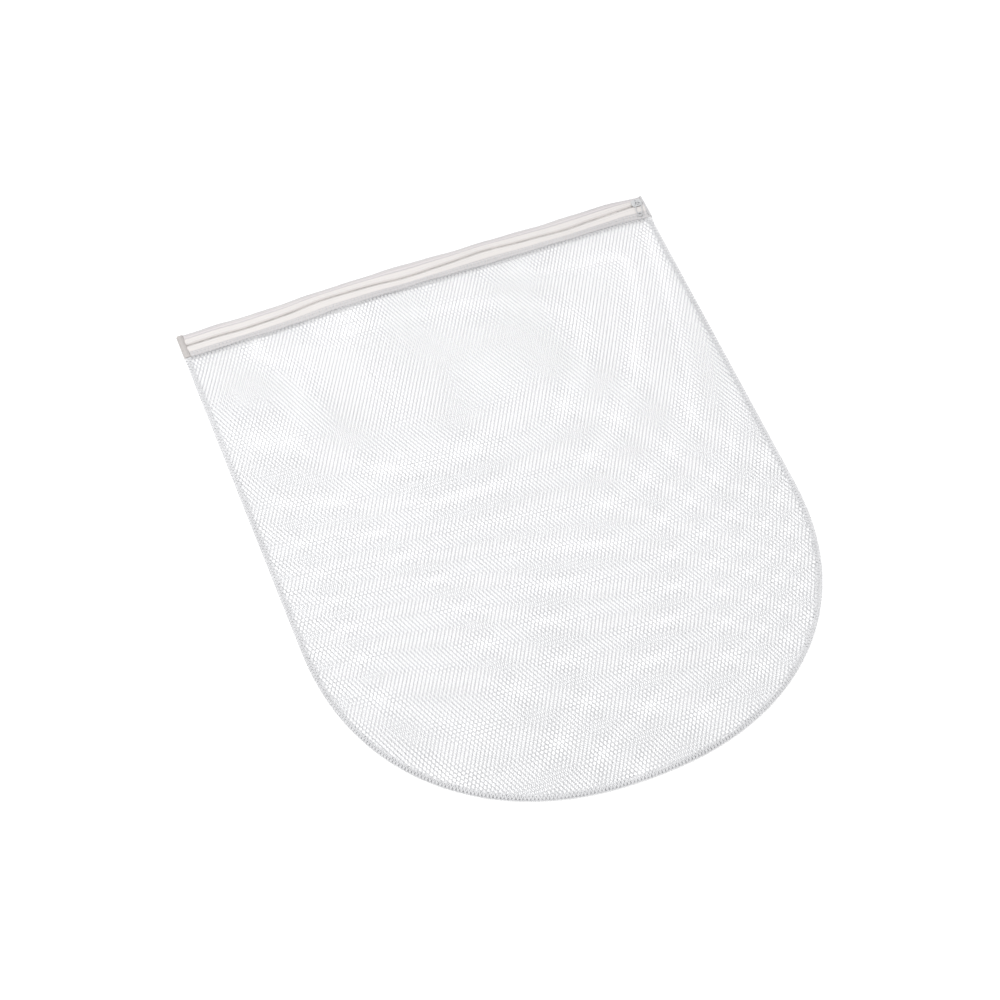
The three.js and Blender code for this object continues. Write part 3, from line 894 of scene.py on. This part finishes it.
def lockstitch(x0, x1, v, z, pitch, radius):
    """A row of lockstitches along the zip band.

    Between two needle holes the thread arches by the square root of a half sine, and it drops
    into the cloth at each hole.
    """
    count = int(round((x1 - x0) / pitch))
    steps = 8
    t = np.arange(count * steps + 1) / steps
    arch = np.abs(np.sin(np.pi * t)) ** 0.5
    rise, sunk = 0.3 * MM, 0.26 * MM
    path = band_point(x0 + (x1 - x0) * t / count, v, z + arch * rise - sunk)
    return tube_part(path, (0.0, 1.0, 0.0), radius, 6)


class LAUNDRY_OT_zip_stitching(bpy.types.Operator):
    """Sew the coils to their tapes and stitch the back tape's outer edge"""

    bl_idname = "laundry.zip_stitching"
    bl_label = "Zip Stitching"

    def execute(self, context):
        s = settings()
        thread = material_named("sewing_thread", thread_material, s.thread_colour)
        x0, x1 = TACK_LEFT[1].x, TACK_RIGHT[0].x
        bowed = TAPE_HIGH_Z + 0.36 * MM
        for side, name in ((-1, "front"), (1, "back")):
            rows = [lockstitch(x0, x1, side * v, bowed, 2.3 * MM, 0.13 * MM) for v in COIL_ROWS]
            make_piece(f"{name}_coil_stitches", rows, thread, "bag",
                       [f"{name}_coil_stitching"])
        for name in ("outer", "inner"):
            low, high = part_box(f"back_tape_stitching_{name}")
            v = (low.y + high.y) / 2 - ZIP_Y
            row = lockstitch(x0, x1, v, TAPE_HIGH_Z + 0.06 * MM, 2.6 * MM, 0.17 * MM)
            make_piece(f"back_tape_row_{name}", [row], thread, "bag",
                       [f"back_tape_stitching_{name}"])
        return {"FINISHED"}


def zigzag(phase, dwell=0.0):
    """0 at whole phases and 1 at half phases, staying at 1 for the share dwell of each phase.

    It is a smooth step of a triangle wave.
    """
    rise = 1 - np.abs((phase % 1.0) * 2 - 1)
    return smoothstep(rise, -0.12, 1.04 - dwell)


class LAUNDRY_OT_tape_overlock(bpy.types.Operator):
    """Overlock the front panel to its tape and bind the back panel to the top edge

    The looper thread zigzags across the band and dips round the tape's edge and into its needle
    holes by smooth steps. The binding thread is a helix round the top edge.
    """

    bl_idname = "laundry.tape_overlock"
    bl_label = "Tape Overlock"

    def execute(self, context):
        s = settings()
        thread = material_named("sewing_thread", thread_material, s.thread_colour)
        x0, x1 = TACK_LEFT[1].x, TACK_RIGHT[0].x
        pitch, steps = 3.0 * MM, 16
        count = int((x1 - x0) / pitch)
        t = np.arange(count * steps + 1) / steps
        x = x0 + (x1 - x0) * t / count
        low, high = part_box("front_tape_overlock")
        across = zigzag(t)
        inner, edge = high.y - ZIP_Y - 0.2 * MM, low.y - ZIP_Y + 0.1 * MM
        v = inner + (edge - inner) * across
        z = TAPE_HIGH_Z + 0.24 * MM - 1.1 * MM * smoothstep(across, 0.9, 1.02)
        z = z - 0.35 * MM * smoothstep(1 - across, 0.93, 1.0)
        outward = np.outer(smoothstep(across, 0.85, 1.0), (0, -1, 0)) + (0, 0, 1)
        looper = tube_part(band_point(x, v, z), outward, 0.8 * s.thread_radius, 6, 0.55)
        needle = lockstitch(x0, x1, inner + 0.2 * MM, TAPE_HIGH_Z + 0.1 * MM, pitch, 0.2 * MM)
        make_piece("front_tape_looper", [looper, needle], thread, "bag",
                   ["front_tape_overlock"])

        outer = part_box("top_edge_binding_thread")[1].y - ZIP_Y - 0.25 * MM
        whips, per_whip = int((x1 - x0) / (1.2 * MM)), 10
        turn = 2 * np.pi * np.arange(whips * per_whip + 1) / per_whip
        x = x0 + (x1 - x0) * np.linspace(0, 1, len(turn))
        under = TAPE_LOW_Z - 0.9 * MM
        tall = (TAPE_HIGH_Z + 0.35 * MM) - under
        z = under + tall * (0.5 + 0.5 * np.sin(turn))
        v = outer - 1.3 * MM * (0.5 + 0.5 * np.cos(turn))
        outward = np.column_stack([0 * turn, -np.cos(turn), np.sin(turn)])
        binding = tube_part(band_point(x, v, z), outward, 0.3 * MM, 6, 0.6)
        make_piece("top_edge_whip_thread", [binding], thread, "bag",
                   ["top_edge_binding_thread"])
        return {"FINISHED"}


class LAUNDRY_OT_border(bpy.types.Operator):
    """Lay the border's upper looper, lower looper and needle threads round the bag

    A looper zigzags between the seam and the bag's edge and dips round the edge by a smooth
    step. The needle thread arches from hole to hole along the seam.
    """

    bl_idname = "laundry.border"
    bl_label = "Overlocked Border"

    def execute(self, context):
        s = settings()
        thread = material_named("border_thread", thread_material, s.border_colour)
        steps = 12
        top = BAND_LOW_Y - 0.4 * MM
        fine = s.stitch_pitch / steps
        line = seam_line(top, fine)
        climb = (TAPE_HIGH_Z + 0.2 * MM) - (BORDER_TOP[0].z + 1.25 * MM)

        def looper(phase, top_z, edge_z, lift_ends):
            places, normals, tangents, along = line
            t = along / s.stitch_pitch + phase
            across = zigzag(t, 0.22)
            inset = BORDER_WIDTH * (1 - across) + 0.2 * MM
            rise = climb * smoothstep(places[:, 1], *CLIMB) * lift_ends
            over = 1 - smoothstep(across, 0.84, 1.02)
            z = edge_z + (top_z - edge_z) * over + rise
            slant = 0.1 * s.stitch_pitch * np.sin(2 * np.pi * t)
            spot = places + normals * inset[:, None] + tangents * slant[:, None]
            path = np.column_stack([spot, z])
            face = np.sign(top_z - edge_z) * over
            outward = np.column_stack([-normals * (1 - over)[:, None], face])
            return tube_part(path, outward, s.thread_radius, 6, 0.5)

        upper = [looper(0.0, 2.35 * MM, 1.2 * MM, 1.0)]
        make_piece("border_upper_looper", upper, thread, "bag",
                   ["edge_overlock_upper_thread"])
        lower = [looper(0.5, 0.3 * MM, 1.35 * MM, 0.0)]
        make_piece("border_lower_looper", lower, thread, "bag",
                   ["edge_overlock_lower_thread"])

        places, normals, _, along = line
        arch = np.abs(np.sin(np.pi * along / s.stitch_pitch)) ** 0.5
        rise = climb * smoothstep(places[:, 1], *CLIMB)
        z = 2.1 * MM + 0.45 * MM * arch + rise
        spot = places + normals * (BORDER_WIDTH + 0.1 * MM)
        needle = tube_part(np.column_stack([spot, z]), np.column_stack([normals, 0 * along]),
                           0.2 * MM, 6)
        make_piece("border_needle_thread", [needle], thread, "bag",
                   ["edge_needle_thread"])
        return {"FINISHED"}


class LAUNDRY_OT_end_tacks(bpy.types.Operator):
    """Sew the dense tack over each end of the zip band

    One thread zigzags across the band's end, dips round its side by a smooth step, and goes on
    straight down over its top edge.
    """

    bl_idname = "laundry.end_tacks"
    bl_label = "End Tacks"

    def execute(self, context):
        s = settings()
        brown = material_named("tack_thread_brown", thread_material, s.tack_colour)
        grey = material_named("sewing_thread", thread_material, s.thread_colour)
        jobs = (
            ("left_end_tack", -1, TACK_LEFT, brown, "tack_thread"),
            ("right_end_tack", 1, TACK_RIGHT, grey, "thread"),
        )
        for name, side, (low, high), thread, slot in jobs:
            width = high.x - low.x
            pitch, steps = 0.62 * MM, 16
            inset = 0.3 * MM
            depth = high.y - low.y - 2 * inset
            fall = 2.3 * MM  # how far the thread goes on down over the top edge
            count = int((depth + fall) / pitch)
            t = np.arange(count * steps + 1) / steps
            across = zigzag(t)
            inner = HALF_WIDTH - width + inset
            x = side * (inner + (HALF_WIDTH - 0.15 * MM - inner) * across)
            travel = (depth + fall) * t / count
            past = np.clip(travel - depth, 0, None)
            y = low.y + inset + travel - 0.88 * past
            wrap = smoothstep(across, 0.86, 1.02)
            z = high.z - 0.35 * MM - 2.4 * MM * wrap - 0.45 * MM * smoothstep(1 - across, 0.9, 1.0)
            z = np.maximum(z - past, high.z - 3.0 * MM)
            y = y + edge_drift(side * HALF_WIDTH)
            path = np.column_stack([x, y, z])
            outward = np.outer(wrap, (side, 0, -1)) + (0, 0, 1)
            part = tube_part(path, outward, 0.3 * MM, 6)
            make_piece(f"{name}_thread", [part], thread, "bag", [name])
        return {"FINISHED"}


def rounded_slab(length, width, low, high):
    """A slab with a superellipse outline and rounded edges, closed above and below.

    Row r is the outline scaled in by edge (1 - cos a) at height z = mid + half sin a, where a runs
    from -90 to 90 degrees.
    """
    power, edge, rows, columns = 4.0, 0.22 * MM, 9, 40
    bend = np.linspace(-np.pi / 2, np.pi / 2, rows)
    corner = np.linspace(0, 2 * np.pi, columns, endpoint=False)
    across = np.sign(np.cos(corner)) * np.abs(np.cos(corner)) ** (2 / power)
    down = np.sign(np.sin(corner)) * np.abs(np.sin(corner)) ** (2 / power)
    shrink = edge * (1 - np.cos(bend))
    straight = (high - low) / 2 - edge
    z = (low + high) / 2 + np.sign(np.sin(bend)) * straight + edge * np.sin(bend)
    x = (length / 2 - shrink)[:, None] * across
    y = (width / 2 - shrink)[:, None] * down
    ring = np.stack([x, y, np.broadcast_to(z[:, None], x.shape)], -1)
    return grid_part(ring, np.arange(rows) * edge, corner / (2 * np.pi))


def moved(part, shift):
    """The same part with its points shifted."""
    return part | {"points": part["points"] + np.array(shift)}


def rounded_loop(turn, half_x, half_y, squareness):
    """A closed superellipse: |cos|^squareness and |sin|^squareness times the half sizes."""
    x = np.sign(np.cos(turn)) * np.abs(np.cos(turn)) ** squareness * half_x
    y = np.sign(np.sin(turn)) * np.abs(np.sin(turn)) ** squareness * half_y
    return np.column_stack([x, y, 0 * turn])


class LAUNDRY_OT_slider(bpy.types.Operator):
    """Cast the slider body with its bail, and the slotted pull with its eyelet

    The body is two rounded slabs with side flanges and a post between them, and the bail is a
    rod along a flattened half ellipse. The pull is a rod along a squarish loop and a round
    one, laid down on the tape about its hinge.
    """

    bl_idname = "laundry.slider"
    bl_label = "Slider and Pull"

    def execute(self, context):
        s = settings()
        enamel = material_named("slider_enamel", enamel_material, s.slider_colour)
        low, high = SLIDER
        middle = Vector(((low.x + high.x) / 2, (low.y + high.y) / 2, 0.0))
        length, width = high.x - low.x, high.y - low.y
        plate = 0.75 * MM
        top_z = high.z - 2.3 * MM  # the bail stands on the upper plate
        flange = rounded_slab(length * 0.66, 0.6 * MM, low.z + 0.1 * MM, TAPE_LOW_Z - 0.3 * MM)
        post = rounded_slab(2.4 * MM, 1.0 * MM, low.z + 0.2 * MM, top_z - 0.2 * MM)
        bend = np.linspace(0, np.pi, 25)
        bail_y = -np.cos(bend) * 2.45 * MM
        bail_z = top_z - 0.3 * MM + np.abs(np.sin(bend)) ** 0.55 * (high.z - top_z - 0.15 * MM)
        bail = np.column_stack([0 * bend, bail_y, bail_z])
        parts = [
            rounded_slab(length, width, low.z, low.z + plate),
            rounded_slab(length, width - 0.8 * MM, top_z - plate, top_z),
            moved(flange, (-0.9 * MM, -(width / 2 - 0.3 * MM), 0.0)),
            moved(flange, (-0.9 * MM, width / 2 - 0.3 * MM, 0.0)),
            moved(post, (2.4 * MM, 0.0, 0.0)),
            tube_part(bail, (1.0, 0.0, 0.0), 0.45 * MM, 10),
        ]
        parts = [moved(part, middle) for part in parts]
        make_piece("slider_casting", parts, enamel, "slider", ["slider_body"])

        swing = next(j for j in frame["record"]["behaviour"]["joints"] if j["child"] == "pull")
        hinge = np.array(swing["pos_m"])
        axis = np.array(swing["axis"])
        tilt = np.radians(4.0)
        half = 2.48 * MM
        reach = 10.4 * MM
        eyelet = 1.65 * MM
        turn = np.linspace(0, 2 * np.pi, 73)
        slot = rounded_loop(turn, half, reach / 2, 0.35) - (0.0, reach / 2, 0.0)
        eye = rounded_loop(turn, eyelet, eyelet, 1.0) - (0.0, reach + 1.75 * MM, 0.0)
        parts = []
        for path in (slot, eye):
            part = tube_part(path, (0.0, 0.0, 1.0), 0.42 * MM, 10)
            x, y, z = part["points"].T
            down = z + np.sin(tilt) * y
            turned = np.outer(x, -axis) + np.outer(y, (axis[1], -axis[0], 0.0))
            part["points"] = turned + np.outer(down, (0.0, 0.0, 1.0)) + hinge
            parts.append(part)
        make_piece("pull_frame", parts, enamel, "pull", ["slider_pull"])
        return {"FINISHED"}


def area_light(name, place, size, power):
    """A soft square light at place, aimed at the middle of the bag."""
    light = bpy.data.lights.new(name, "AREA")
    light.shape = "SQUARE"
    light.size = size
    light.energy = power
    lamp = bpy.data.objects.new(name, light)
    bpy.context.scene.collection.objects.link(lamp)
    lamp.location = place
    lamp.rotation_euler = (-Vector(place)).to_track_quat("-Z", "Y").to_euler()


class LAUNDRY_OT_stage(bpy.types.Operator):
    """Set the pale floor, the soft lights and the camera"""

    bl_idname = "laundry.stage"
    bl_label = "Stage"

    def execute(self, context):
        scene = context.scene
        reach, level = 6.0, -0.2 * MM
        corners = [(-reach, -reach), (reach, -reach), (reach, reach), (-reach, reach)]
        mesh = bpy.data.meshes.new("floor")
        mesh.from_pydata([(x, y, level) for x, y in corners], [], [(0, 1, 2, 3)])
        floor = bpy.data.objects.new("floor", mesh)
        scene.collection.objects.link(floor)
        material, _, shader = new_material("floor_white", 0.9)
        shader.inputs["Base Color"].default_value = (0.9, 0.9, 0.9, 1.0)
        shader.inputs["Specular IOR Level"].default_value = 0.0
        shader.inputs["Emission Color"].default_value = (1.0, 1.0, 1.0, 1.0)
        shader.inputs["Emission Strength"].default_value = 0.31
        mesh.materials.append(material)

        world = bpy.data.worlds.new("studio")
        world.use_nodes = True
        back = world.node_tree.nodes["Background"]
        back.inputs["Color"].default_value = (1.0, 1.0, 1.0, 1.0)
        back.inputs["Strength"].default_value = 0.42
        scene.world = world
        area_light("key_softbox", (-0.4, 0.28, 1.25), 1.0, 12.5)
        area_light("fill_softbox", (0.9, 0.0, 1.6), 1.6, 8.5)

        camera_data = bpy.data.cameras.new("camera")
        camera_data.lens = 86.4
        camera_data.sensor_width = 36.0
        camera_data.clip_start = 0.01
        camera = bpy.data.objects.new("camera", camera_data)
        scene.collection.objects.link(camera)
        turn, rise, distance = np.radians(-21.6), np.radians(58.4), 1.832
        aim = Vector((-0.0157, 0.0114, 0.0))
        way = Vector((np.sin(turn) * np.cos(rise), -np.cos(turn) * np.cos(rise), np.sin(rise)))
        camera.location = aim + way * distance
        camera.rotation_euler = (aim - camera.location).to_track_quat("-Z", "Y").to_euler()
        scene.camera = camera
        scene.view_settings.view_transform = "Standard"
        return {"FINISHED"}


PIECE_OPERATORS = (
    LAUNDRY_OT_net_panels,
    LAUNDRY_OT_zip_coils,
    LAUNDRY_OT_zip_tapes,
    LAUNDRY_OT_zip_stitching,
    LAUNDRY_OT_tape_overlock,
    LAUNDRY_OT_border,
    LAUNDRY_OT_end_tacks,
    LAUNDRY_OT_slider,
    LAUNDRY_OT_stage,
)


class LAUNDRY_PT_bag(bpy.types.Panel):
    """Laundry bag pieces and settings"""

    bl_idname = "LAUNDRY_PT_bag"
    bl_label = "Mesh Laundry Bag"
    bl_space_type = "VIEW_3D"
    bl_region_type = "UI"
    bl_category = "Laundry Bag"

    def draw(self, context):
        column = self.layout.column()
        for name in LaundryBagSettings.__annotations__:
            column.prop(context.scene.laundry_bag, name)
        for operator in PIECE_OPERATORS:
            column.operator(operator.bl_idname)


CLASSES = (LaundryBagSettings, *PIECE_OPERATORS, LAUNDRY_PT_bag)


def register():
    """Adds the settings, the operators and the panel."""
    for item in CLASSES:
        bpy.utils.register_class(item)
    bpy.types.Scene.laundry_bag = bpy.props.PointerProperty(type=LaundryBagSettings)


def unregister():
    """Takes away what register added."""
    del bpy.types.Scene.laundry_bag
    for item in reversed(CLASSES):
        bpy.utils.unregister_class(item)


def main():
    register()
    for operator in PIECE_OPERATORS:
        group, name = operator.bl_idname.split(".")
        getattr(getattr(bpy.ops, group), name)()


if __name__ == "__main__":
    main()
